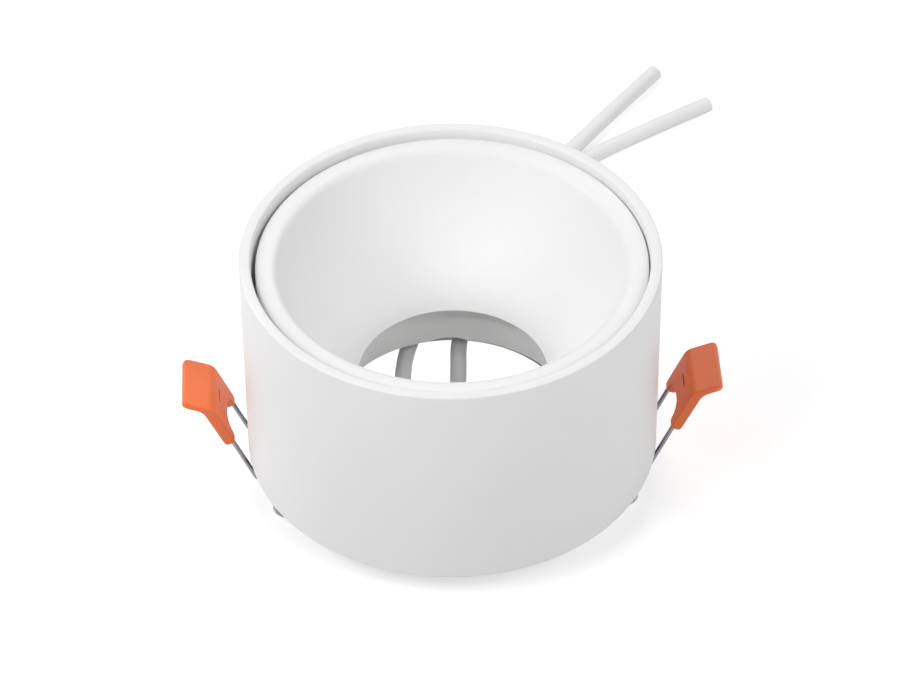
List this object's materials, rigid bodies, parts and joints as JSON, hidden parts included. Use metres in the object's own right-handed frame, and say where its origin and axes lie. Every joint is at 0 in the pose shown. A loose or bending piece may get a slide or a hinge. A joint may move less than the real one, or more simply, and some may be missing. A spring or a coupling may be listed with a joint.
{
  "type": "recessed spotlight housing",
  "caption": "Round white recessed spotlight housing with a deep conical reflector cup, sprung clips with orange feet, and a loose lamp holder on two leads.",
  "frame": {"origin": "centre of the housing, on the surface that the clip brackets' feet stand on", "axes": "+Z along the housing's axis, from its back towards the light opening; +X towards the right-hand clip; +Y towards the side where the leads come out"},
  "size_m": [0.1231, 0.1734, 0.0568],
  "materials": {
    "housing_paint": "white powder coat, satin",
    "cup_paint": "white paint, matte",
    "bracket_steel": "zinc plated sheet",
    "screw_steel": "zinc plated",
    "pin_steel": "plain turned",
    "spring_wire": "drawn spring wire",
    "grip_orange": "soft moulded, satin",
    "ceramic": "unglazed steatite",
    "rivet_brass": "nickel plated brass",
    "contact_brass": "sprung strip",
    "lead_sleeve": "white braided glass sleeve, silicone coated"
  },
  "bodies": {
    "housing": {"housing": "housing_paint", "reflector_cup": "cup_paint", "cup_screws": "screw_steel", "bracket_screws": "screw_steel", "lampholder_body": "ceramic", "lampholder_cover": "ceramic", "lampholder_rivets": "rivet_brass", "lampholder_contact_left": "contact_brass", "lampholder_contact_right": "contact_brass", "lead_left": "lead_sleeve", "lead_right": "lead_sleeve", "left_clip_bracket": "bracket_steel", "left_clip_pin": "pin_steel", "right_clip_bracket": "bracket_steel", "right_clip_pin": "pin_steel"},
    "left_clip": {"left_clip_spring": "spring_wire", "left_clip_grip": "grip_orange"},
    "right_clip": {"right_clip_spring": "spring_wire", "right_clip_grip": "grip_orange"}
  },
  "joints": [
    {"name": "left_clip_hinge", "type": "hinge", "parent": "housing", "child": "left_clip", "pos_m": [-0.03525, 0, 0.0033], "axis": [0, -1, 0], "range_deg": [0, 150], "stiffness_Nm_per_rad": 0.08, "springref_deg": -28.65},
    {"name": "right_clip_hinge", "type": "hinge", "parent": "housing", "child": "right_clip", "pos_m": [0.03525, 0, 0.0033], "axis": [0, 1, 0], "range_deg": [0, 150], "stiffness_Nm_per_rad": 0.08, "springref_deg": -28.65}
  ]
}
